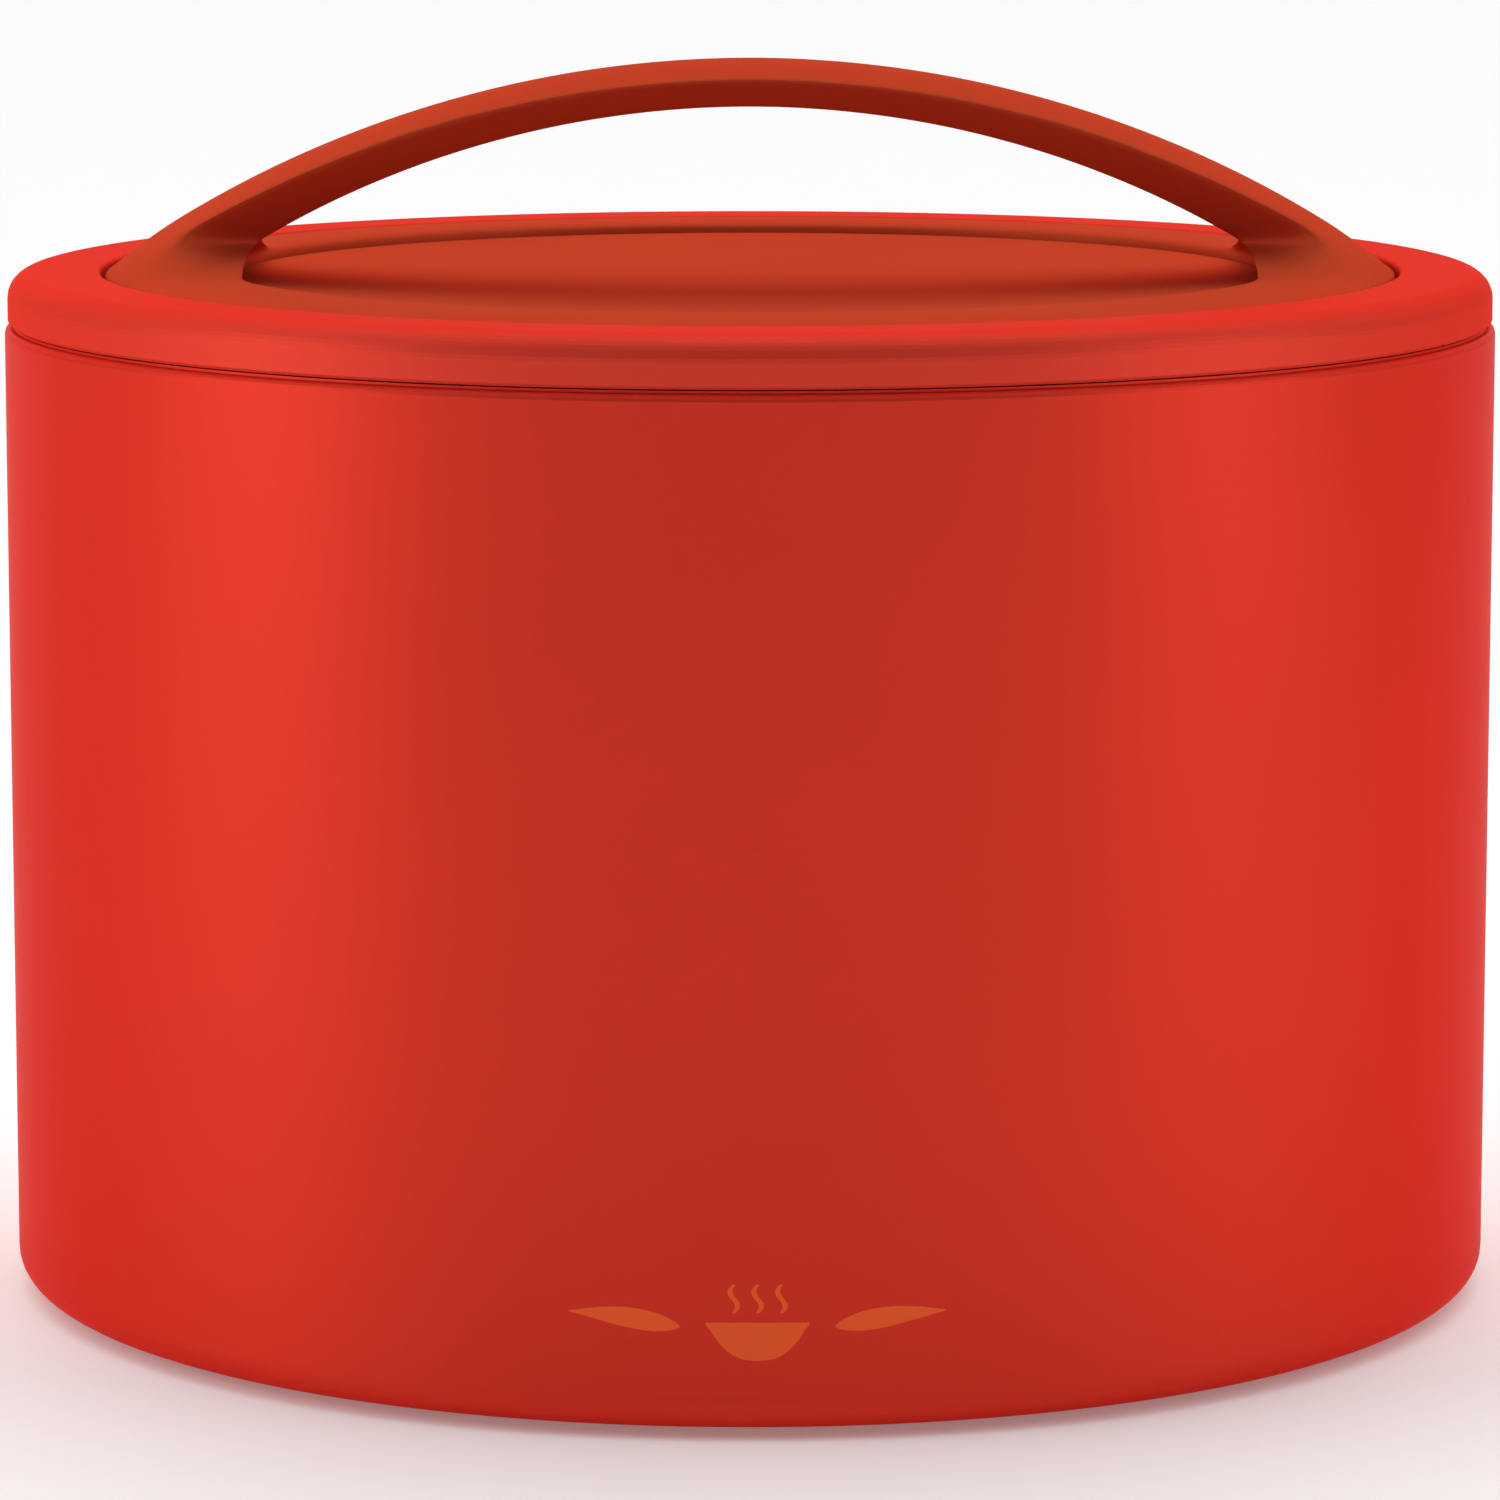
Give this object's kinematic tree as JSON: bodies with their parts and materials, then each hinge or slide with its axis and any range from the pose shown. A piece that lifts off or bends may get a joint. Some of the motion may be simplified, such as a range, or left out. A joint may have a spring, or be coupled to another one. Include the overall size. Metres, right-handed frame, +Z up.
{
  "type": "insulated lunch pot",
  "caption": "Round foam-insulated lunch pot with a twist-lock lid, a fixed arched handle on a dished lid insert, and a lift-out divided food bowl with a vented lid.",
  "frame": {"origin": "on the table, under the middle of the body: the centre of the foot ring's underside", "axes": "+Z up along the body's axis, which is also the lid's turning axis; +X along the handle, from one foot to the other; -Y is the printed front"},
  "size_m": [0.15, 0.15, 0.124],
  "materials": {
    "red_body": "satin",
    "red_lid": "satin",
    "terracotta": "satin",
    "white_liner": "satin",
    "bowl_natural": "satin",
    "silicone": "matte",
    "foot_rubber": "matte",
    "foam": "matte",
    "screw_steel": "satin"
  },
  "bodies": {
    "base": {"outer_shell": "red_body", "base_cap": "red_body", "fill_plug": "red_body", "foot_ring": "foot_rubber", "insulation_foam": "foam", "vessel_liner": "white_liner"},
    "bowl": {"food_bowl": "bowl_natural"},
    "divider": {"bowl_divider": "bowl_natural"},
    "bowl_cover": {"bowl_lid": "bowl_natural", "bowl_lid_gasket": "silicone"},
    "vent": {"vent_plug": "silicone"},
    "seal": {"lid_gasket": "silicone"},
    "lid": {"lid_liner": "white_liner", "lid_foam": "foam", "lid_cover": "red_lid", "handle_ring": "terracotta", "dish_disc": "terracotta", "handle_screws": "screw_steel"}
  },
  "joints": [
    {"name": "bowl_lift", "type": "slide", "parent": "base", "child": "bowl", "axis": [0, 0, 1], "range_m": [0, 0.085]},
    {"name": "divider_lift", "type": "slide", "parent": "bowl", "child": "divider", "axis": [0, 0, 1], "range_m": [0, 0.062]},
    {"name": "bowl_cover_lift", "type": "slide", "parent": "divider", "child": "bowl_cover", "axis": [0, 0, 1], "range_m": [0, 0.03]},
    {"name": "vent_pull", "type": "slide", "parent": "bowl_cover", "child": "vent", "axis": [0, 0, 1], "range_m": [0, 0.0023]},
    {"name": "lid_lift", "type": "slide", "parent": "bowl_cover", "child": "seal", "axis": [0, 0, 1], "range_m": [0, 0.05]},
    {"name": "lid_turn", "type": "hinge", "parent": "seal", "child": "lid", "pos_m": [0, 0, 0.1], "axis": [0, 0, 1], "range_deg": [-42, 0]}
  ]
}
